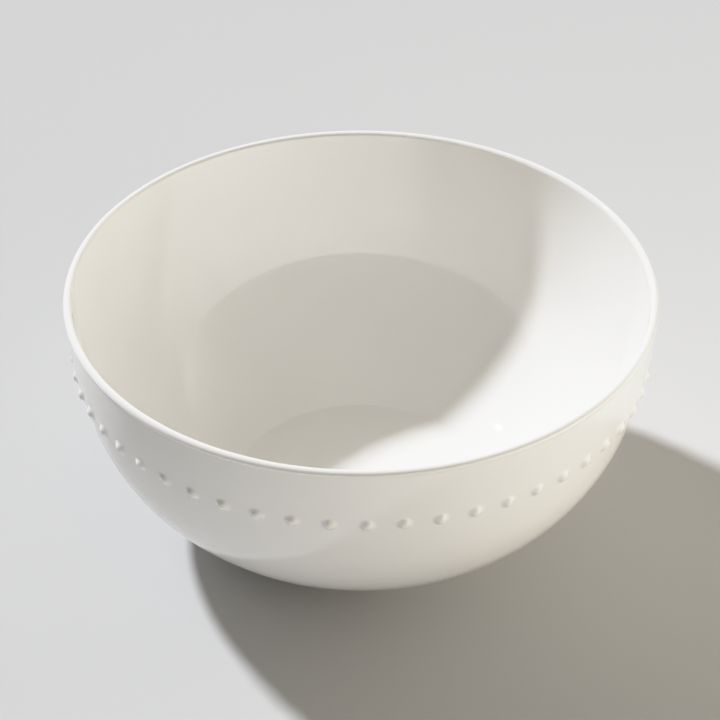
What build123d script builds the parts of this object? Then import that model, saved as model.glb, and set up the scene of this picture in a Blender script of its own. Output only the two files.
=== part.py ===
from build123d import *

import os
from math import asin, cos, degrees, radians, sin, tan

# Porcelain serving bowl: a deep round bowl with a rolled rim, a row of applied beads and a foot ring.
#
# The bowl stands on the plane z = 0. The origin is the centre of the foot ring's resting circle and +Z
# runs up the bowl's axis. Every profile is drawn in the XZ plane, with X as the distance from the axis.
# A tilt is the angle between the wall and the vertical, in degrees, growing as the wall curves inwards.

# Overall sizes, in millimetres
RIM_RADIUS = 125.0
OVERALL_HEIGHT = 113.5

# Wall
WALL_THICKNESS = 3.2
RIM_TILT = 2.3
BELLY_TILT = 15.3
FOOT_TILT = 69.3
UPPER_WALL_DROP = 44.6

# Rolled rim: the roll is thicker than the wall by this much, all of it on the outside
RIM_OVERHANG = 0.3
RIM_SEAT_DEPTH = 0.9

# Foot ring and base
FOOT_RADIUS = 62.5
FOOT_WIDTH = 5.5
FOOT_HEIGHT = 6.2
FOOT_TAPER = 0.8
FOOT_EDGE_RADIUS = 1.1
BASE_RECESS = 2.8
BASE_THICKNESS = 4.2

# Beads
BEAD_COUNT = 56
BEAD_WIDTH = 5.4
BEAD_STANDOFF = 1.6
BEAD_DROP = 28.5
BEAD_FIRST_AZIMUTH = 264.2
BEAD_SPACING_SWING = 2.2

# Sizes that follow from the ones above
RIM_ROLL_RADIUS = (WALL_THICKNESS + RIM_OVERHANG) / 2
RIM_CENTRE = Vector(RIM_RADIUS - RIM_ROLL_RADIUS, OVERALL_HEIGHT - RIM_ROLL_RADIUS)
WALL_TOP = Vector(RIM_RADIUS - RIM_OVERHANG, RIM_CENTRE.Y - RIM_SEAT_DEPTH)
UPPER_RADIUS = UPPER_WALL_DROP / (sin(radians(BELLY_TILT)) - sin(radians(RIM_TILT)))
WELL_HEIGHT = BASE_RECESS + BASE_THICKNESS


def outward(tilt):
    """The unit vector square to the wall, pointing out of the bowl, where the wall has this tilt."""
    return Vector(cos(radians(tilt)), -sin(radians(tilt)))


def downward(tilt):
    """The unit vector along the wall, pointing down and inwards, where the wall has this tilt."""
    return Vector(-sin(radians(tilt)), -cos(radians(tilt)))


UPPER_CENTRE = WALL_TOP - outward(RIM_TILT) * UPPER_RADIUS
BELLY_START = UPPER_CENTRE + outward(BELLY_TILT) * UPPER_RADIUS
BELLY_END = Vector(FOOT_RADIUS, FOOT_HEIGHT)


def belly_curve(inset):
    """The curve of the belly, set in from the outer face by inset, from the upper wall to the foot.

    The handles are as long as those of a circular arc that turns through the same angle.
    """
    start = BELLY_START - outward(BELLY_TILT) * inset
    end = BELLY_END - outward(FOOT_TILT) * inset
    turn = radians(FOOT_TILT - BELLY_TILT)
    handle = (end - start).length * (4 / 3) * tan(turn / 4) / (2 * sin(turn / 2))
    return Bezier(
        start,
        start + downward(BELLY_TILT) * handle,
        end - downward(FOOT_TILT) * handle,
        end,
    )


def wall_curves(inset, floor_height):
    """The wall's face from rim to axis, set in by inset, closed off by a flat floor at floor_height."""
    upper = CenterArc(UPPER_CENTRE, UPPER_RADIUS - inset, -RIM_TILT, RIM_TILT - BELLY_TILT)
    belly = belly_curve(inset)
    foot_end = belly @ 1
    run = (foot_end.Y - floor_height) * tan(radians(FOOT_TILT))
    floor_edge = Vector(foot_end.X - run, floor_height)
    slope = Line(foot_end, floor_edge)
    floor = Line(floor_edge, Vector(0, floor_height))
    return [upper, belly, slope, floor]


def spin(outline):
    """A solid of revolution about Z from an outline drawn with X as radius and Y as height."""
    section = Plane.XZ * make_face(outline)
    return revolve(section, Axis.Z)


def make_bowl_wall():
    """The thrown shell: upper wall, belly and base in one piece, open at the top."""
    outer = wall_curves(0, BASE_RECESS)
    inner = wall_curves(WALL_THICKNESS, WELL_HEIGHT)
    top = Line(outer[0] @ 0, inner[0] @ 0)
    axis_side = Line(Vector(0, BASE_RECESS), Vector(0, WELL_HEIGHT))
    return spin(outer + inner + [top, axis_side])


def make_filled_bowl():
    """The bowl's outer shape without its hollow, used to trim what is applied to the outside."""
    outer = wall_curves(0, BASE_RECESS)
    top = Line(outer[0] @ 0, Vector(0, WALL_TOP.Y))
    axis_side = Line(Vector(0, BASE_RECESS), Vector(0, WALL_TOP.Y))
    return spin(outer + [top, axis_side])


def make_rolled_rim(bowl_wall):
    """The round roll that crowns the wall, seated on the wall's top edge."""
    inner_top = WALL_TOP - outward(RIM_TILT) * WALL_THICKNESS
    roll_inside = Vector(RIM_RADIUS - 2 * RIM_ROLL_RADIUS, RIM_CENTRE.Y)
    neck = make_face(Polyline(inner_top, WALL_TOP, RIM_CENTRE, roll_inside, close=True))
    roll = Pos(RIM_CENTRE.X, RIM_CENTRE.Y) * Circle(RIM_ROLL_RADIUS)
    below_seat = make_face(Polyline(
        inner_top,
        WALL_TOP,
        WALL_TOP + Vector(2 * RIM_ROLL_RADIUS, 0),
        WALL_TOP + Vector(2 * RIM_ROLL_RADIUS, -2 * RIM_ROLL_RADIUS),
        inner_top + Vector(-2 * RIM_ROLL_RADIUS, -2 * RIM_ROLL_RADIUS),
        inner_top + Vector(-2 * RIM_ROLL_RADIUS, 0),
        close=True,
    ))
    section = Plane.XZ * (roll + neck - below_seat)
    return revolve(section, Axis.Z) - bowl_wall


def make_foot_ring(filled_bowl):
    """The foot ring: a low wall with rounded edges at the bottom, trimmed to the belly it is stuck to."""
    inner_radius = FOOT_RADIUS - FOOT_WIDTH
    section = make_face(Polyline(
        Vector(inner_radius, FOOT_HEIGHT),
        Vector(inner_radius + FOOT_TAPER, 0),
        Vector(FOOT_RADIUS - FOOT_TAPER, 0),
        Vector(FOOT_RADIUS, FOOT_HEIGHT),
        close=True,
    ))
    resting_corners = section.vertices().group_by(Axis.Y)[0]
    section = Plane.XZ * fillet(resting_corners, FOOT_EDGE_RADIUS)
    return revolve(section, Axis.Z) - filled_bowl


def bead_azimuths():
    """The azimuth of each bead: an even pitch that opens and closes gently twice round the bowl."""
    azimuths = []
    for index in range(BEAD_COUNT):
        turned = index * 360 / BEAD_COUNT
        swing = BEAD_SPACING_SWING * sin(radians(2 * turned))
        azimuths.append(BEAD_FIRST_AZIMUTH + turned + swing)
    return azimuths


def make_bead(filled_bowl):
    """One bead at azimuth 0: a low dome whose back follows the wall that it is stuck to."""
    bead_height = OVERALL_HEIGHT - BEAD_DROP
    tilt = degrees(asin((UPPER_CENTRE.Y - bead_height) / UPPER_RADIUS))
    dome_radius = (BEAD_WIDTH**2 / 4 + BEAD_STANDOFF**2) / (2 * BEAD_STANDOFF)
    centre = UPPER_CENTRE + outward(tilt) * (UPPER_RADIUS + BEAD_STANDOFF - dome_radius)
    return Pos(centre.X, 0, centre.Y) * Sphere(dome_radius) - filled_bowl


def make_bowl():
    """Every piece of the bowl by name."""
    bowl_wall = make_bowl_wall()
    filled_bowl = make_filled_bowl()
    pieces = {
        "bowl_wall": bowl_wall,
        "rolled_rim": make_rolled_rim(bowl_wall),
        "foot_ring": make_foot_ring(filled_bowl),
    }
    bead = make_bead(filled_bowl)
    for number, azimuth in enumerate(bead_azimuths(), start=1):
        pieces[f"bead_{number:02d}"] = Rot(0, 0, azimuth) * bead
    return pieces


os.makedirs("parts", exist_ok=True)
for name, piece in make_bowl().items():
    export_step(piece, f"parts/{name}.step")
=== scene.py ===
"""Glazed porcelain serving bowl with a rolled rim, a row of applied beads and a foot ring.

Every piece is modelled in metres around the bowl's axis, which is Z, and rides on the one body of the
bowl. A tilt is the angle between the wall and the vertical, in degrees: it grows as the wall curves in
towards the base. Profiles are drawn as (radius, height) and spun about the axis.
"""

import logging
import math
from collections.abc import Sequence
from dataclasses import dataclass
from enum import Enum

import bpy
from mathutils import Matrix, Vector
from mathutils.kdtree import KDTree

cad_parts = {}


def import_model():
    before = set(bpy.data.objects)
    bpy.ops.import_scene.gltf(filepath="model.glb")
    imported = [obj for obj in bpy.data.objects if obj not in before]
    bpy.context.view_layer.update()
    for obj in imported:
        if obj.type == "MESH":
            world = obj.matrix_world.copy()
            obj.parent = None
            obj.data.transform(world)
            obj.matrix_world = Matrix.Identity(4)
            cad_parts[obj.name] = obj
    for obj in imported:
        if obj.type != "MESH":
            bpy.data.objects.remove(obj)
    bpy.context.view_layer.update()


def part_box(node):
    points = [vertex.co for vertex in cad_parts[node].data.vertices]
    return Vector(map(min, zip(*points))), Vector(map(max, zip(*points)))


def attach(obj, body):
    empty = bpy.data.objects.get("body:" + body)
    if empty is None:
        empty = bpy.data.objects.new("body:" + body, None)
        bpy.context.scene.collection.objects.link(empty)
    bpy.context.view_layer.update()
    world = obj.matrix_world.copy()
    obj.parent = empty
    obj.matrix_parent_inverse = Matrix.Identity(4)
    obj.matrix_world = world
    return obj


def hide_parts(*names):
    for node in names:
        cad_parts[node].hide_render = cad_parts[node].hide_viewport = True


log = logging.getLogger("serving_bowl")

MM = 0.001
BODY = "root"
SPIN_STEPS = 1008
SPIN_DOUBLINGS = 3
SMOOTH_BELOW = math.radians(38)
MERGE_WITHIN = 0.0005 * MM
AIM_HEIGHT = 60 * MM

Piece = bpy.types.Object
Material = bpy.types.Material
Tree = bpy.types.NodeTree
Socket = bpy.types.NodeSocket
Profile = list[Vector]
Colour = tuple[float, float, float]

ROOM_WHITE: Colour = (1.065, 1.0, 0.86)


class Slot(Enum):
    """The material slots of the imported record."""

    WALL = "glazed_wall"
    RIM = "glazed_rim"
    FOOT = "bare_foot"
    BEADS = "glazed_beads"


# ---------------------------------------------------------------------------------------------------
# Profiles
# ---------------------------------------------------------------------------------------------------


def outward(tilt: float) -> Vector:
    """The unit vector square to the wall and out of the bowl, where the wall has this tilt."""
    return Vector((math.cos(math.radians(tilt)), -math.sin(math.radians(tilt))))


def downward(tilt: float) -> Vector:
    """The unit vector along the wall, down and inwards, where the wall has this tilt."""
    return Vector((-math.sin(math.radians(tilt)), -math.cos(math.radians(tilt))))


def arc(centre: Vector, radius: float, start: float, end: float, steps: int) -> Profile:
    """Points along a circular arc.

    Args:
        centre: The arc's centre.
        radius: The arc's radius.
        start: Its first angle, in degrees, from the outward direction towards the top.
        end: Its last angle, in degrees.
        steps: How many stretches the arc has.

    Returns:
        The points, with both ends.
    """
    points = []
    for step in range(steps + 1):
        angle = math.radians(start + (end - start) * step / steps)
        points.append(centre + radius * Vector((math.cos(angle), math.sin(angle))))
    return points


def round_corner(before: Vector, corner: Vector, after: Vector, reach: float, steps: int) -> Profile:
    """Points of a smooth bend in place of a corner.

    Args:
        before: A point on the line that comes to the corner.
        corner: The corner itself.
        after: A point on the line that leaves the corner.
        reach: How far from the corner the bend starts and ends.
        steps: How many stretches the bend has.

    Returns:
        The points of a quadratic curve from one line to the other.
    """
    start = corner + (before - corner).normalized() * reach
    end = corner + (after - corner).normalized() * reach
    points = []
    for step in range(steps + 1):
        along = step / steps
        points.append(
            start * (1 - along) ** 2 + corner * 2 * along * (1 - along) + end * along**2
        )
    return points


@dataclass(frozen=True)
class BowlShape:
    """The sizes that all of the bowl's pieces share, in metres and degrees."""

    rim_radius: float
    overall_height: float
    foot_radius: float
    foot_height: float
    wall_thickness: float = 3.2 * MM
    rim_overhang: float = 0.3 * MM
    rim_seat_depth: float = 0.9 * MM
    rim_tilt: float = 2.3
    belly_tilt: float = 15.3
    foot_tilt: float = 69.3
    upper_wall_drop: float = 44.6 * MM
    base_recess: float = 2.8 * MM
    base_thickness: float = 4.2 * MM
    bead_drop: float = 28.5 * MM
    wall_pitch: float = 4.0 * MM

    @classmethod
    def from_frame(cls) -> "BowlShape":
        """Read the overall sizes from the frame's own nodes.

        Returns:
            The bowl's sizes, with the overall ones as the frame has them.
        """
        rim_low, rim_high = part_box("rolled_rim")
        foot_low, foot_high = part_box("foot_ring")
        return cls(
            rim_radius=(rim_high[0] - rim_low[0]) / 2,
            overall_height=rim_high[2],
            foot_radius=(foot_high[0] - foot_low[0]) / 2,
            foot_height=foot_high[2],
        )

    @property
    def well_height(self) -> float:
        """How high the flat well inside lies."""
        return self.base_recess + self.base_thickness

    @property
    def wall_top(self) -> Vector:
        """The outer edge of the seat that the rolled rim sits on.

        Returns:
            The point, as (radius, height).
        """
        nominal_roll = (self.wall_thickness + self.rim_overhang) / 2
        height = self.overall_height - nominal_roll - self.rim_seat_depth
        return Vector((self.rim_radius - self.rim_overhang, height))

    @property
    def upper_radius(self) -> float:
        """The radius of the upper wall's long arc."""
        turn = math.sin(math.radians(self.belly_tilt)) - math.sin(math.radians(self.rim_tilt))
        return self.upper_wall_drop / turn

    @property
    def upper_centre(self) -> Vector:
        """The centre of the upper wall's long arc."""
        return self.wall_top - outward(self.rim_tilt) * self.upper_radius

    @property
    def bead_height(self) -> float:
        """The height of the bead row above the table."""
        return self.overall_height - self.bead_drop

    @property
    def bead_tilt(self) -> float:
        """The wall's tilt at the bead row, in degrees."""
        return math.degrees(math.asin((self.upper_centre.y - self.bead_height) / self.upper_radius))

    @property
    def bead_seat(self) -> Vector:
        """The point of the outer face where each bead's centre sits."""
        return self.upper_centre + outward(self.bead_tilt) * self.upper_radius

    def upper_wall(self, inset: float, first: float, last: float, pitch: float) -> Profile:
        """Points down a stretch of the upper wall.

        Args:
            inset: How far inside the outer face the points lie.
            first: The tilt at the first point, in degrees.
            last: The tilt at the last point, in degrees.
            pitch: The wanted distance between points.

        Returns:
            The points, with both ends.
        """
        radius = self.upper_radius - inset
        steps = max(1, round(radius * math.radians(last - first) / pitch))
        return arc(self.upper_centre, radius, -first, -last, steps)

    def belly(self, inset: float, pitch: float) -> Profile:
        """Points down the belly, from the upper wall to the foot.

        Args:
            inset: How far inside the outer face the points lie.
            pitch: The wanted distance between points.

        Returns:
            The points of a cubic curve that turns as a circular arc does, with both ends.
        """
        belly_start = self.upper_centre + outward(self.belly_tilt) * self.upper_radius
        start = belly_start - outward(self.belly_tilt) * inset
        end = Vector((self.foot_radius, self.foot_height)) - outward(self.foot_tilt) * inset
        turn = math.radians(self.foot_tilt - self.belly_tilt)
        chord = (end - start).length
        handle = chord * (4 / 3) * math.tan(turn / 4) / (2 * math.sin(turn / 2))
        longer_than_chord = 1.04
        leave = start + downward(self.belly_tilt) * handle
        arrive = end - downward(self.foot_tilt) * handle
        steps = round(longer_than_chord * chord / pitch)
        points = []
        for step in range(steps + 1):
            s = step / steps
            points.append(
                start * (1 - s) ** 3
                + leave * 3 * s * (1 - s) ** 2
                + arrive * 3 * s**2 * (1 - s)
                + end * s**3
            )
        return points

    def floor_corner(self, inset: float, floor_height: float) -> Vector:
        """Where the wall's slope past the foot reaches a flat floor.

        Args:
            inset: How far inside the outer face the slope lies.
            floor_height: The height of the flat floor.

        Returns:
            The corner, as (radius, height).
        """
        end = Vector((self.foot_radius, self.foot_height)) - outward(self.foot_tilt) * inset
        run = (end.y - floor_height) * math.tan(math.radians(self.foot_tilt))
        return Vector((end.x - run, floor_height))


# ---------------------------------------------------------------------------------------------------
# Working with meshes
# ---------------------------------------------------------------------------------------------------


def start_piece(name: str, place: Vector) -> Piece:
    """Start a new piece as a single point, left in edit mode.

    Args:
        name: The piece's name.
        place: The point, as (radius, height).

    Returns:
        The new object.
    """
    bpy.ops.object.select_all(action="DESELECT")
    bpy.ops.mesh.primitive_plane_add(size=MM, location=(0, 0, 0))
    piece = bpy.context.object
    piece.name = name
    piece.data.name = name
    bpy.ops.object.mode_set(mode="EDIT")
    bpy.ops.mesh.select_all(action="SELECT")
    bpy.ops.mesh.merge(type="CENTER")
    bpy.ops.transform.translate(value=(place.x, 0, place.y))
    return piece


def spin_profile(name: str, profile: Profile, steps: int, closed: bool) -> Piece:
    """Spin a profile about Z into a closed surface.

    Args:
        name: The piece's name.
        profile: The points of the profile, as (radius, height).
        steps: How many steps the full turn has.
        closed: Whether the profile runs back to its first point, as a ring's does.

    Returns:
        The finished object, with smooth faces that point outwards.
    """
    piece = start_piece(name, profile[0])
    path = profile[1:] + ([profile[0]] if closed else [])
    here = profile[0]
    for point in path:
        step = point - here
        bpy.ops.mesh.extrude_vertices_move(
            TRANSFORM_OT_translate={"value": (step.x, 0, step.y)}
        )
        here = point
    merge_close_points()
    share = math.tau / 2**SPIN_DOUBLINGS
    bpy.ops.mesh.spin(
        steps=steps // 2**SPIN_DOUBLINGS, angle=share, center=(0, 0, 0), axis=(0, 0, 1)
    )
    for doubling in range(SPIN_DOUBLINGS):
        bpy.ops.mesh.select_all(action="SELECT")
        bpy.ops.mesh.duplicate()
        turn_selected(share * 2**doubling)
    merge_close_points()
    bpy.ops.mesh.normals_make_consistent(inside=False)
    bpy.ops.object.mode_set(mode="OBJECT")
    bpy.ops.object.shade_smooth_by_angle(angle=SMOOTH_BELOW)
    return piece


def merge_close_points() -> None:
    """Join the points of the mesh in edit mode that lie on one another."""
    bpy.ops.mesh.select_all(action="SELECT")
    bpy.ops.mesh.remove_doubles(threshold=MERGE_WITHIN)
    bpy.ops.mesh.select_all(action="SELECT")


def turn_selected(angle: float) -> None:
    """Turn what is selected in edit mode about the bowl's axis, the same way round as a spin.

    Args:
        angle: How far to turn it, in radians.
    """
    bpy.ops.transform.rotate(
        value=angle, orient_axis="Z", orient_type="GLOBAL", center_override=(0, 0, 0)
    )


def dress(piece: Piece, material: Material, nodes: list[str]) -> None:
    """Give a piece its material and its place on the bowl's body.

    Args:
        piece: The finished piece.
        material: Its material.
        nodes: The nodes of the frame that the piece stands for.
    """
    piece.data.materials.clear()
    piece.data.materials.append(material)
    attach(piece, BODY)
    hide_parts(*nodes)
    log.info("%s: %d faces", piece.name, len(piece.data.polygons))


# ---------------------------------------------------------------------------------------------------
# Finishes
# ---------------------------------------------------------------------------------------------------


def new_group(name: str, inputs: dict[str, tuple], outputs: dict[str, str]) -> Tree:
    """Start a shader node group.

    Args:
        name: The group's name.
        inputs: Socket type and starting value for each input's name.
        outputs: Socket type for each output's name.

    Returns:
        The group, with its input and output nodes named "in" and "out".
    """
    group = bpy.data.node_groups.new(name, "ShaderNodeTree")
    for label, (kind, value) in inputs.items():
        socket = group.interface.new_socket(label, in_out="INPUT", socket_type=kind)
        socket.default_value = value
    for label, kind in outputs.items():
        group.interface.new_socket(label, in_out="OUTPUT", socket_type=kind)
    start = group.nodes.new("NodeGroupInput")
    start.name = "in"
    end = group.nodes.new("NodeGroupOutput")
    end.name = "out"
    return group


def noise(tree: Tree, place: Socket, size: float, detail: float) -> Socket:
    """Add a noise pattern.

    Args:
        tree: The node tree that gets it.
        place: The coordinates that it reads, in metres.
        size: The width of its lumps, in metres.
        detail: How many finer layers it has.

    Returns:
        Its value, about 0.5 on average.
    """
    node = tree.nodes.new("ShaderNodeTexNoise")
    node.inputs["Scale"].default_value = 1 / size
    node.inputs["Detail"].default_value = detail
    tree.links.new(place, node.inputs["Vector"])
    return node.outputs["Fac"]


def maths(tree: Tree, operation: str, *values: Socket | float) -> Socket:
    """Add one step of arithmetic.

    Args:
        tree: The node tree that gets it.
        operation: The Math node's operation.
        values: A socket or a number for each of its inputs.

    Returns:
        The result's socket.
    """
    node = tree.nodes.new("ShaderNodeMath")
    node.operation = operation
    for index, value in enumerate(values):
        if isinstance(value, bpy.types.NodeSocket):
            tree.links.new(value, node.inputs[index])
        else:
            node.inputs[index].default_value = value
    return node.outputs[0]


def spread(
    tree: Tree, value: Socket, low: float, high: float, to_low: float, to_high: float
) -> Socket:
    """Stretch a value smoothly from one range to another.

    Args:
        tree: The node tree that gets it.
        value: The value to stretch.
        low: The value that becomes to_low.
        high: The value that becomes to_high.
        to_low: The start of the new range.
        to_high: The end of the new range.

    Returns:
        The stretched value.
    """
    node = tree.nodes.new("ShaderNodeMapRange")
    node.interpolation_type = "SMOOTHSTEP"
    for label, number in (
        ("From Min", low),
        ("From Max", high),
        ("To Min", to_low),
        ("To Max", to_high),
    ):
        node.inputs[label].default_value = number
    tree.links.new(value, node.inputs["Value"])
    return node.outputs["Result"]


RIPPLE_WIDTH = 34 * MM
PEEL_WIDTH = 2.2 * MM
WEAR_WIDTH = 9 * MM
LEAST_WORN = 0.85
MOST_WORN = 1.25
TONE_WIDTH = 55 * MM
SPECK_PITCH = 9 * MM
SPECK_PATCH_WIDTH = 16 * MM
SPECK_CORE = 0.012
SPECK_EDGE = 0.022
SPECK_RARITY = 0.66
SPECK_COLOUR: Colour = (0.33, 0.27, 0.2)


def glaze_skin_group() -> Tree:
    """The skin of a fired glaze: slow ripples, fine orange peel and a gloss that varies.

    Returns:
        A group with a Height in metres and a Roughness that varies over the surface.
    """
    name = "glaze_skin"
    if name in bpy.data.node_groups:
        return bpy.data.node_groups[name]
    group = new_group(
        name,
        {
            "Place": ("NodeSocketVector", (0, 0, 0)),
            "Ripple": ("NodeSocketFloat", 0.03 * MM),
            "Peel": ("NodeSocketFloat", 0.0006 * MM),
            "Gloss": ("NodeSocketFloat", 0.07),
        },
        {"Height": "NodeSocketFloat", "Roughness": "NodeSocketFloat"},
    )
    sockets = group.nodes["in"].outputs
    place = sockets["Place"]
    ripple = maths(group, "MULTIPLY", noise(group, place, RIPPLE_WIDTH, 1.0), sockets["Ripple"])
    peel = maths(group, "MULTIPLY", noise(group, place, PEEL_WIDTH, 1.0), sockets["Peel"])
    height = maths(group, "ADD", ripple, peel)
    smears = noise(group, place, WEAR_WIDTH, 4.0)
    worn = spread(group, smears, 0.35, 0.75, LEAST_WORN, MOST_WORN)
    roughness = maths(group, "MULTIPLY", worn, sockets["Gloss"])
    group.links.new(height, group.nodes["out"].inputs["Height"])
    group.links.new(roughness, group.nodes["out"].inputs["Roughness"])
    return group


def clay_tone_group() -> Tree:
    """The tone of the fired clay under its glaze: a slow drift of colour and rare small specks.

    Returns:
        A group that puts out a Color.
    """
    name = "clay_tone"
    if name in bpy.data.node_groups:
        return bpy.data.node_groups[name]
    group = new_group(
        name,
        {
            "Place": ("NodeSocketVector", (0, 0, 0)),
            "Clay": ("NodeSocketColor", (0.8, 0.78, 0.74, 1)),
            "Shade": ("NodeSocketColor", (0.78, 0.76, 0.72, 1)),
            "Specks": ("NodeSocketFloat", 0.3),
        },
        {"Color": "NodeSocketColor"},
    )
    sockets = group.nodes["in"].outputs
    place = sockets["Place"]
    drift = spread(group, noise(group, place, TONE_WIDTH, 3.0), 0.35, 0.65, 0.0, 1.0)
    tone = group.nodes.new("ShaderNodeMix")
    tone.data_type = "RGBA"
    group.links.new(drift, tone.inputs["Factor"])
    group.links.new(sockets["Clay"], tone.inputs["A"])
    group.links.new(sockets["Shade"], tone.inputs["B"])
    cells = group.nodes.new("ShaderNodeTexVoronoi")
    cells.inputs["Scale"].default_value = 1 / SPECK_PITCH
    group.links.new(place, cells.inputs["Vector"])
    dots = spread(group, cells.outputs["Distance"], SPECK_CORE, SPECK_EDGE, 1.0, 0.0)
    rare = maths(group, "GREATER_THAN", noise(group, place, SPECK_PATCH_WIDTH, 0.0), SPECK_RARITY)
    amount = maths(group, "MULTIPLY", maths(group, "MULTIPLY", dots, rare), sockets["Specks"])
    speckled = group.nodes.new("ShaderNodeMix")
    speckled.data_type = "RGBA"
    speckled.inputs["B"].default_value = (*SPECK_COLOUR, 1)
    group.links.new(amount, speckled.inputs["Factor"])
    group.links.new(tone.outputs["Result"], speckled.inputs["A"])
    group.links.new(speckled.outputs["Result"], group.nodes["out"].inputs["Color"])
    return group


@dataclass(frozen=True)
class Glaze:
    """Clear gloss glaze over warm white porcelain."""

    name: str
    clay: Colour = (0.968, 0.955, 0.93)
    shade: Colour = (0.958, 0.943, 0.915)
    specks: float = 0.35
    gloss: float = 0.045
    ripple: float = 0.03 * MM
    peel: float = 0.0006 * MM
    index: float = 1.65
    bare_below: float = 0.0
    bare_clay: Colour = (0.74, 0.72, 0.68)
    bare_edge: float = 0.25 * MM
    waver_width: float = 7 * MM
    waver: float = 0.5 * MM
    grain_width: float = 0.35 * MM
    grain_depth: float = 0.03 * MM
    smoothest_grain: float = 0.55
    roughest_grain: float = 0.75

    def material(self) -> Material:
        """Build the finish.

        Returns:
            The material, with its patterns in the bowl's own metres.
        """
        material = bpy.data.materials.new(self.name)
        material.use_nodes = True
        tree = material.node_tree
        shader = tree.nodes["Principled BSDF"]
        shader.inputs["IOR"].default_value = self.index
        place = tree.nodes.new("ShaderNodeTexCoord").outputs["Object"]
        tone = self.placed_group(tree, clay_tone_group(), place)
        tone.inputs["Clay"].default_value = (*self.clay, 1)
        tone.inputs["Shade"].default_value = (*self.shade, 1)
        tone.inputs["Specks"].default_value = self.specks
        skin = self.placed_group(tree, glaze_skin_group(), place)
        skin.inputs["Ripple"].default_value = self.ripple
        skin.inputs["Peel"].default_value = self.peel
        skin.inputs["Gloss"].default_value = self.gloss
        colour = tone.outputs["Color"]
        roughness = skin.outputs["Roughness"]
        height = skin.outputs["Height"]
        if self.bare_below > 0:
            colour, roughness, height = self.leave_bare(tree, place, colour, roughness, height)
        bump = tree.nodes.new("ShaderNodeBump")
        bump.inputs["Distance"].default_value = 1.0
        bump.inputs["Strength"].default_value = 1.0
        tree.links.new(height, bump.inputs["Height"])
        tree.links.new(colour, shader.inputs["Base Color"])
        tree.links.new(roughness, shader.inputs["Roughness"])
        tree.links.new(bump.outputs["Normal"], shader.inputs["Normal"])
        return material

    def placed_group(self, tree: Tree, group: Tree, place: Socket) -> bpy.types.Node:
        """Place a shared group in a material and feed it the coordinates.

        Args:
            tree: The material's node tree.
            group: The shared group.
            place: The coordinates, in metres.

        Returns:
            The group's node.
        """
        node = tree.nodes.new("ShaderNodeGroup")
        node.node_tree = group
        tree.links.new(place, node.inputs["Place"])
        return node

    def leave_bare(
        self, tree: Tree, place: Socket, colour: Socket, roughness: Socket, height: Socket
    ) -> tuple[Socket, Socket, Socket]:
        """Wipe the glaze off below a height, as a foot is wiped before firing.

        Args:
            tree: The material's node tree.
            place: The coordinates, in metres.
            colour: The glazed colour.
            roughness: The glazed roughness.
            height: The glazed relief.

        Returns:
            The colour, roughness and relief with the bare band.
        """
        split = tree.nodes.new("ShaderNodeSeparateXYZ")
        tree.links.new(place, split.inputs["Vector"])
        waver = maths(tree, "MULTIPLY", noise(tree, place, self.waver_width, 2.0), self.waver)
        level = maths(tree, "ADD", split.outputs["Z"], waver)
        glazed = spread(tree, level, self.bare_below, self.bare_below + self.bare_edge, 0.0, 1.0)
        grain = noise(tree, place, self.grain_width, 3.0)
        mixed = tree.nodes.new("ShaderNodeMix")
        mixed.data_type = "RGBA"
        mixed.inputs["A"].default_value = (*self.bare_clay, 1)
        tree.links.new(glazed, mixed.inputs["Factor"])
        tree.links.new(colour, mixed.inputs["B"])
        bare_rough = spread(tree, grain, 0.3, 0.7, self.smoothest_grain, self.roughest_grain)
        gloss = tree.nodes.new("ShaderNodeMix")
        tree.links.new(glazed, gloss.inputs["Factor"])
        tree.links.new(bare_rough, gloss.inputs["A"])
        tree.links.new(roughness, gloss.inputs["B"])
        relief = tree.nodes.new("ShaderNodeMix")
        tree.links.new(glazed, relief.inputs["Factor"])
        tree.links.new(maths(tree, "MULTIPLY", grain, self.grain_depth), relief.inputs["A"])
        tree.links.new(height, relief.inputs["B"])
        return mixed.outputs["Result"], gloss.outputs["Result"], relief.outputs["Result"]


@dataclass(frozen=True)
class MatteFloor:
    """A pale matte floor."""

    colour: Colour = (0.57, 0.57, 0.573)
    roughness: float = 0.9
    sheen: float = 0.2

    def material(self) -> Material:
        """Build the finish.

        Returns:
            The floor's material.
        """
        material = bpy.data.materials.new("pale_floor")
        material.use_nodes = True
        shader = material.node_tree.nodes["Principled BSDF"]
        shader.inputs["Base Color"].default_value = (*self.colour, 1)
        shader.inputs["Roughness"].default_value = self.roughness
        shader.inputs["Specular IOR Level"].default_value = self.sheen
        return material


# ---------------------------------------------------------------------------------------------------
# The bowl's pieces
# ---------------------------------------------------------------------------------------------------


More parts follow.
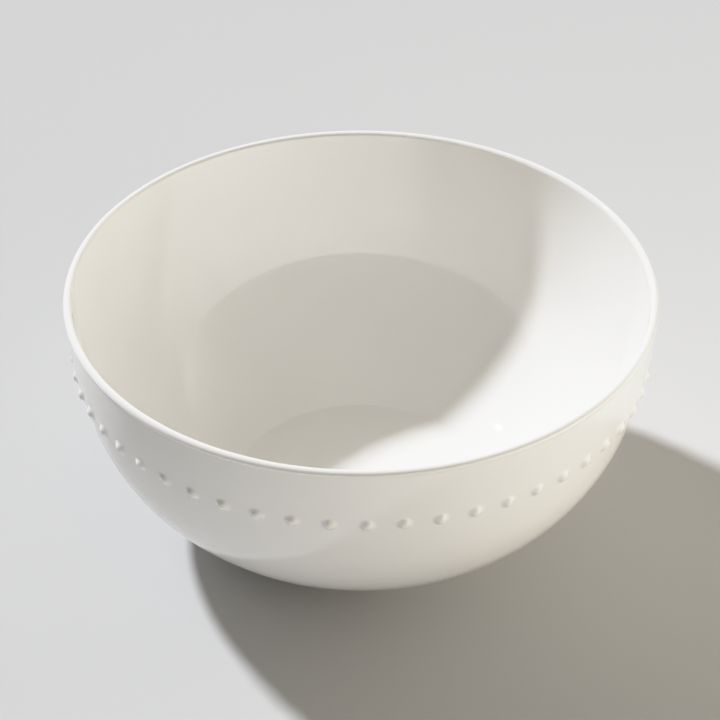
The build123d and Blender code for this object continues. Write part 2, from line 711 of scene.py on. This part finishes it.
@dataclass
class BeadRow:
    """The row of applied beads: where they sit, how they swell and the pieces themselves."""

    shape: BowlShape
    count: int = 56
    first_azimuth: float = 264.2
    spacing_swing: float = 2.2
    standoff: float = 1.6 * MM
    swell: float = 2.35 * MM
    fullness: float = 3.2
    dome_radius: float = 3.3 * MM
    lap: float = 0.35 * MM
    sink: float = 0.06 * MM
    tuck_in: float = 0.9
    tuck_under: float = 0.1 * MM
    rings: int = 18
    segments: int = 36

    def azimuths(self) -> list[float]:
        """Where each bead sits, evenly pitched with a gentle swing twice round.

        Returns:
            The azimuth of each bead, in degrees.
        """
        found = []
        for index in range(self.count):
            turned = index * 360 / self.count
            swing = self.spacing_swing * math.sin(math.radians(2 * turned))
            found.append(self.first_azimuth + turned + swing)
        return found

    def relief(self, distance: float) -> float:
        """The glaze's height above the bare wall at this distance from a bead's centre."""
        return self.standoff * math.exp(-((distance / self.swell) ** self.fullness))

    def centres(self) -> list[Vector]:
        """The point of the wall under each bead.

        Returns:
            The points, in the order of the beads.
        """
        seat = self.shape.bead_seat
        places = []
        for azimuth in self.azimuths():
            turn = math.radians(azimuth)
            places.append(Vector((seat.x * math.cos(turn), seat.x * math.sin(turn), seat.y)))
        return places

    def dome_profile(self) -> Profile:
        """The dome of one bead, from its crown to its tucked-in edge.

        Returns:
            The points, as (distance from the crown's axis, height above the wall).
        """
        reach = self.dome_radius + self.lap
        points = []
        for ring in range(self.rings + 1):
            distance = reach * ring / self.rings
            past = max(0.0, distance - self.dome_radius + self.lap) / (2 * self.lap)
            points.append(Vector((distance, self.relief(distance) - self.sink * (past**2))))
        return points

    def build(self, material: Material) -> None:
        """Model one bead, copy it round the bowl and dress every copy.

        Args:
            material: The beads' finish.
        """
        profile = self.dome_profile()
        edge = profile[-1]
        profile.append(Vector((edge.x * self.tuck_in, -self.tuck_under)))
        profile.append(Vector((0, -self.tuck_under)))
        pattern = spin_profile("bead_pattern", profile, self.segments, closed=False)
        seat = self.shape.bead_seat
        pattern.rotation_euler = (0, math.radians(90 + self.shape.bead_tilt), 0)
        pattern.location = (seat.x, 0, seat.y)
        bpy.ops.object.transform_apply(location=True, rotation=True, scale=True)
        for number, azimuth in enumerate(self.azimuths(), start=1):
            bpy.ops.object.select_all(action="DESELECT")
            pattern.select_set(True)
            bpy.context.view_layer.objects.active = pattern
            bpy.ops.object.duplicate()
            bead = bpy.context.object
            bead.name = f"glazed_bead_{number:02d}"
            bead.data.name = bead.name
            bead.rotation_euler = (0, 0, math.radians(azimuth))
            bpy.ops.object.transform_apply(rotation=True)
            dress(bead, material, [f"bead_{number:02d}"])
        bpy.data.objects.remove(pattern, do_unlink=True)


@dataclass
class Shell:
    """The thrown shell: upper wall, belly, base and well, with the glaze swollen round each bead."""

    shape: BowlShape
    beads: BeadRow
    band_pitch: float = 0.76 * MM
    band_reach: float = 5.6 * MM
    outer_corner_reach: float = 3.0 * MM
    outer_corner_steps: int = 5
    well_corner_reach: float = 0.6 * MM
    well_corner_steps: int = 7

    def outer_profile(self) -> Profile:
        """The outer face from the axis under the base up to the seat of the rim.

        Returns:
            The points, as (radius, height).
        """
        shape = self.shape
        band = math.degrees(self.band_reach / shape.upper_radius)
        low = shape.bead_tilt + band
        high = shape.bead_tilt - band
        down = shape.upper_wall(0, shape.rim_tilt, high, shape.wall_pitch)
        down += shape.upper_wall(0, high, low, self.band_pitch)[1:]
        down += shape.upper_wall(0, low, shape.belly_tilt, shape.wall_pitch)[1:]
        belly = shape.belly(0, shape.wall_pitch)
        corner = shape.floor_corner(0, shape.base_recess)
        centre = Vector((0, shape.base_recess))
        reach = self.outer_corner_reach
        bend = round_corner(belly[-1], corner, centre, reach, self.outer_corner_steps)
        down += belly[1:] + bend + [centre]
        return down[::-1]

    def inner_profile(self) -> Profile:
        """The inner face from the seat of the rim down to the axis in the well.

        Returns:
            The points, as (radius, height).
        """
        shape = self.shape
        inset = shape.wall_thickness
        down = shape.upper_wall(inset, shape.rim_tilt, shape.belly_tilt, shape.wall_pitch)
        belly = shape.belly(inset, shape.wall_pitch)
        corner = shape.floor_corner(inset, shape.well_height)
        centre = Vector((0, shape.well_height))
        reach = self.well_corner_reach
        bend = round_corner(belly[-1], corner, centre, reach, self.well_corner_steps)
        return down + belly[1:] + bend + [centre]

    def swell_round_beads(self, piece: Piece) -> None:
        """Raise the outer face round each bead, where glaze gathers.

        Args:
            piece: The spun shell.
        """
        tree = KDTree(self.beads.count)
        for index, centre in enumerate(self.beads.centres()):
            tree.insert(centre, index)
        tree.balance()
        middle = self.shape.bead_seat.x - self.shape.wall_thickness / 2
        seat_height = self.beads.relief(self.beads.dome_radius)
        group = piece.vertex_groups.new(name="glaze_swell")
        for vertex in piece.data.vertices:
            if vertex.co.xy.length < middle:
                continue
            distance = tree.find(vertex.co)[2]
            if distance > self.band_reach:
                continue
            height = min(self.beads.relief(distance), seat_height)
            group.add([vertex.index], height / seat_height, "REPLACE")
        swell = piece.modifiers.new("glaze_swell", "DISPLACE")
        swell.vertex_group = group.name
        swell.direction = "NORMAL"
        swell.mid_level = 0
        swell.strength = seat_height
        bpy.ops.object.select_all(action="DESELECT")
        piece.select_set(True)
        bpy.context.view_layer.objects.active = piece
        bpy.ops.object.modifier_apply(modifier=swell.name)

    def build(self, material: Material) -> None:
        """Model the shell and dress it.

        Args:
            material: The shell's finish.
        """
        profile = self.outer_profile() + self.inner_profile()
        shell = spin_profile("glazed_shell", profile, SPIN_STEPS, closed=False)
        self.swell_round_beads(shell)
        dress(shell, material, ["bowl_wall"])


@dataclass
class RolledRim:
    """The round roll that crowns the wall, faired into the outer face by a small hollow of glaze."""

    shape: BowlShape
    fillet: float = 0.6 * MM
    feather: float = 0.01 * MM
    feather_run: float = 1.5 * MM
    crown_steps: int = 26
    fillet_steps: int = 20

    def roll_radius(self) -> float:
        """The radius at which the roll runs into the wall's inner face without a step.

        Returns:
            The radius, in metres.
        """
        shape = self.shape
        square = outward(shape.rim_tilt)
        offset = Vector((shape.rim_radius, shape.overall_height)) - shape.wall_top
        return (offset.dot(square) + shape.wall_thickness) / (1 + square.x + square.y)

    def build(self, material: Material) -> None:
        """Model the rim and dress it.

        Args:
            material: The rim's finish.
        """
        shape = self.shape
        roll = self.roll_radius()
        centre = Vector((shape.rim_radius - roll, shape.overall_height - roll))
        lean = shape.rim_tilt + math.degrees(shape.wall_pitch / shape.upper_radius) / 2
        square = outward(lean)
        out_of_wall = (centre - shape.wall_top).dot(square)
        across = self.fillet - out_of_wall
        along = math.sqrt((roll + self.fillet) ** 2 - across**2)
        hollow = centre + square * across + downward(lean) * along
        meet = math.degrees(math.atan2(hollow.y - centre.y, hollow.x - centre.x))
        dip = square * (self.fillet + self.feather)
        profile = [hollow - dip + downward(lean) * self.feather_run]
        profile += arc(hollow, self.fillet, 180 - lean, 180 + meet, self.fillet_steps)
        profile += arc(centre, roll, meet, 180 - shape.rim_tilt, self.crown_steps)[1:]
        inner_top = shape.wall_top - outward(shape.rim_tilt) * shape.wall_thickness
        profile.append(inner_top)
        tucked = (shape.wall_top + inner_top) / 2 + downward(shape.rim_tilt) * roll
        profile.append(tucked)
        rim = spin_profile("glazed_rolled_rim", profile, SPIN_STEPS, closed=True)
        dress(rim, material, ["rolled_rim"])


@dataclass
class FootRing:
    """The ring that the bowl stands on, with a soft hollow where it meets the belly."""

    shape: BowlShape
    width: float = 5.5 * MM
    taper: float = 0.8 * MM
    edge: float = 1.1 * MM
    outer_fillet: float = 2.2 * MM
    inner_fillet: float = 1.32 * MM
    fillet_steps: int = 8
    edge_steps: int = 7
    buried: float = 0.6 * MM
    steps: int = 504

    def build(self, material: Material) -> None:
        """Model the foot ring and dress it.

        Args:
            material: The foot ring's finish.
        """
        shape = self.shape
        outer_top = Vector((shape.foot_radius, shape.foot_height))
        outer_low = Vector((shape.foot_radius - self.taper, 0))
        inner_low = Vector((shape.foot_radius - self.width + self.taper, 0))
        slope = downward(shape.foot_tilt)
        inner_radius = shape.foot_radius - self.width
        inner_top = outer_top + slope * ((inner_radius - outer_top.x) / slope.x)
        up_belly = outer_top - slope * self.outer_fillet * 2
        down_belly = inner_top + slope * self.inner_fillet * 2
        profile = round_corner(up_belly, outer_top, outer_low, self.outer_fillet, self.fillet_steps)
        profile += round_corner(outer_top, outer_low, inner_low, self.edge, self.edge_steps)
        profile += round_corner(outer_low, inner_low, inner_top, self.edge, self.edge_steps)
        profile += round_corner(
            inner_low, inner_top, down_belly, self.inner_fillet, self.fillet_steps
        )
        into_base = outward(shape.foot_tilt) * -self.buried
        profile.append(inner_top + into_base)
        profile.append(outer_top + into_base)
        foot = spin_profile("glazed_foot_ring", profile, self.steps, closed=True)
        dress(foot, material, ["foot_ring"])


# ---------------------------------------------------------------------------------------------------
# Studio
# ---------------------------------------------------------------------------------------------------


@dataclass(frozen=True)
class Panel:
    """A soft-edged patch of light on the wall of the room, far from the bowl."""

    name: str
    azimuth: float
    elevation: float
    tightness: float
    strength: float
    colour: Colour = ROOM_WHITE

    def add_to(self, tree: Tree, look: Socket) -> Socket:
        """Add the panel to the room's light.

        Args:
            tree: The world's node tree.
            look: The direction that is looked in.

        Returns:
            The panel's light in that direction, as a vector.
        """
        dot = tree.nodes.new("ShaderNodeVectorMath")
        dot.operation = "DOT_PRODUCT"
        dot.inputs[1].default_value = direction(self.azimuth, self.elevation)
        tree.links.new(look, dot.inputs[0])
        off_axis = maths(tree, "SUBTRACT", dot.outputs["Value"], 1.0)
        falloff = maths(tree, "EXPONENT", maths(tree, "MULTIPLY", off_axis, self.tightness))
        light = tree.nodes.new("ShaderNodeVectorMath")
        light.operation = "SCALE"
        light.label = self.name
        light.inputs[0].default_value = [channel * self.strength for channel in self.colour]
        tree.links.new(falloff, light.inputs["Scale"])
        return light.outputs["Vector"]


@dataclass(frozen=True)
class SoftBox:
    """A flat white light near the bowl, square on to it."""

    name: str
    azimuth: float
    distance: float
    height: float
    width: float
    depth: float
    brightness: float
    seen_in_glaze: bool = True
    colour: Colour = ROOM_WHITE

    def build(self) -> None:
        """Hang the light and aim it at the bowl."""
        turn = math.radians(self.azimuth)
        place = Vector((self.distance * math.cos(turn), self.distance * math.sin(turn), self.height))
        aim = Vector((0, 0, min(self.height, AIM_HEIGHT)))
        bpy.ops.object.light_add(type="AREA", location=place)
        light = bpy.context.object
        light.name = self.name
        light.rotation_euler = (place - aim).to_track_quat("Z", "Y").to_euler()
        light.visible_camera = False
        light.visible_glossy = self.seen_in_glaze
        light.data.shape = "RECTANGLE"
        light.data.size = self.width
        light.data.size_y = self.depth
        light.data.energy = math.pi * self.brightness * self.width * self.depth
        light.data.color = self.colour


def direction(azimuth: float, elevation: float) -> Vector:
    """The unit vector that points to a place in the room.

    Args:
        azimuth: The place's azimuth, in degrees.
        elevation: Its elevation, in degrees.

    Returns:
        The unit vector.
    """
    turn = math.radians(azimuth)
    rise = math.radians(elevation)
    level = math.cos(rise)
    return Vector((level * math.cos(turn), level * math.sin(turn), math.sin(rise)))


@dataclass
class Studio:
    """The floor, the lights and the camera."""

    shape: BowlShape
    focal_length: float = 130.0
    sensor: float = 36.0
    camera_elevation: float = 36.72
    camera_distance: float = 1.1172
    aim_below_rim: float = 37.2 * MM
    aim_aside: float = -0.48 * MM
    floor_size: float = 6.0
    key_azimuth: float = 137.5
    key_elevation: float = 43.7
    key_angle: float = 4.5
    key_strength: float = 3.9
    key_colour: Colour = (0.975, 1.0, 1.045)
    glint_angle: float = 1.0
    glint_strength: float = 0.3
    shoulder: float = 0.65
    brightest: float = 4.0
    shoulder_steps: int = 12
    panels: tuple[Panel, ...] = (
        Panel("ceiling", 0, 90, 6, 0.42),
        Panel("back wall", 90, 12, 8, 1.31),
        Panel("side wall", 20, 15, 15, 2.0),
        Panel("low glow, front", 270, 3, 60, 0.4),
        Panel("low glow, front right", 320, 3, 60, 2.2),
        Panel("low glow, right", 350, 3, 60, 1.9),
        Panel("low glow, back right", 20, 3, 60, 0.5),
    )
    softboxes: tuple[SoftBox, ...] = (
        SoftBox("side_card", 350, 0.42, 0.075, 0.5, 0.14, 1.34),
        SoftBox("front_card", 310, 0.42, 0.075, 0.5, 0.14, 0.7),
        SoftBox("front_softbox", 300, 1.6, 1.0, 1.2, 1.2, 1.15, seen_in_glaze=False),
    )

    def add_camera(self) -> None:
        """Set the camera in front of the bowl, looking down into it."""
        roll_radius = (self.shape.wall_thickness + self.shape.rim_overhang) / 2
        aim_height = self.shape.overall_height - roll_radius - self.aim_below_rim
        aim = Vector((self.aim_aside, 0, aim_height))
        back = direction(270, self.camera_elevation)
        bpy.ops.object.camera_add(location=aim + back * self.camera_distance)
        camera = bpy.context.object
        camera.rotation_euler = (math.radians(90 - self.camera_elevation), 0, 0)
        camera.data.lens = self.focal_length
        camera.data.sensor_width = self.sensor
        camera.data.dof.use_dof = False
        bpy.context.scene.camera = camera

    def add_floor(self) -> None:
        """Lay the floor that the bowl stands on."""
        bpy.ops.mesh.primitive_plane_add(size=self.floor_size, location=(0, 0, 0))
        floor = bpy.context.object
        floor.name = "floor"
        floor.data.materials.append(MatteFloor().material())

    def add_key(self) -> None:
        """Set the key light behind the bowl, and the small bare lamp whose glints the glaze catches."""
        self.add_sun("key", self.key_angle, self.key_strength).visible_glossy = False
        self.add_sun("key_glint", self.glint_angle, self.glint_strength).visible_diffuse = False

    def add_sun(self, name: str, angle: float, strength: float) -> Piece:
        """Set one distant lamp at the key's place.

        Args:
            name: What the lamp is called.
            angle: How wide the lamp looks from the bowl, in degrees.
            strength: How strongly it lights.

        Returns:
            The lamp.
        """
        towards = direction(self.key_azimuth, self.key_elevation)
        bpy.ops.object.light_add(type="SUN", location=towards)
        lamp = bpy.context.object
        lamp.name = name
        lamp.rotation_euler = towards.to_track_quat("Z", "Y").to_euler()
        lamp.data.angle = math.radians(angle)
        lamp.data.energy = strength
        lamp.data.color = self.key_colour
        return lamp

    def add_room(self) -> None:
        """Surround the bowl with the room's soft panels."""
        world = bpy.data.worlds.new("room")
        bpy.context.scene.world = world
        world.use_nodes = True
        tree = world.node_tree
        look = tree.nodes.new("ShaderNodeTexCoord").outputs["Generated"]
        total = self.panels[0].add_to(tree, look)
        for panel in self.panels[1:]:
            step = tree.nodes.new("ShaderNodeVectorMath")
            step.operation = "ADD"
            tree.links.new(total, step.inputs[0])
            tree.links.new(panel.add_to(tree, look), step.inputs[1])
            total = step.outputs["Vector"]
        tree.links.new(total, tree.nodes["Background"].inputs["Color"])

    def set_tones(self) -> None:
        """Roll the brightest tones off softly, as film does."""
        view = bpy.context.scene.view_settings
        view.view_transform = "Standard"
        view.use_curve_mapping = True
        mapping = view.curve_mapping
        mapping.white_level = (self.brightest, self.brightest, self.brightest)
        curve = mapping.curves[3]
        room = 1 - self.shoulder
        curve.points.new(self.shoulder / self.brightest, self.shoulder)
        reach = self.brightest - self.shoulder
        for step in range(1, self.shoulder_steps):
            bright = self.shoulder + reach * (step / self.shoulder_steps) ** 2
            shown = 1 - room * math.exp(-(bright - self.shoulder) / room)
            curve.points.new(bright / self.brightest, shown)
        for point in curve.points:
            point.handle_type = "VECTOR"
        mapping.update()

    def build(self) -> None:
        """Set up the whole studio."""
        self.add_camera()
        self.add_floor()
        self.add_key()
        self.add_room()
        for softbox in self.softboxes:
            softbox.build()
        self.set_tones()


def main() -> None:
    """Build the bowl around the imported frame."""
    logging.basicConfig(level=logging.INFO, format="%(name)s: %(message)s")
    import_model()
    shape = BowlShape.from_frame()
    Studio(shape).build()
    beads = BeadRow(shape)
    Shell(shape, beads).build(Glaze("glazed_porcelain_wall").material())
    RolledRim(shape).build(Glaze("glazed_porcelain_rim").material())
    FootRing(shape).build(Glaze("wiped_porcelain_foot", bare_below=1.2 * MM).material())
    beads.build(Glaze("glazed_porcelain_beads").material())


if __name__ == "__main__":
    main()
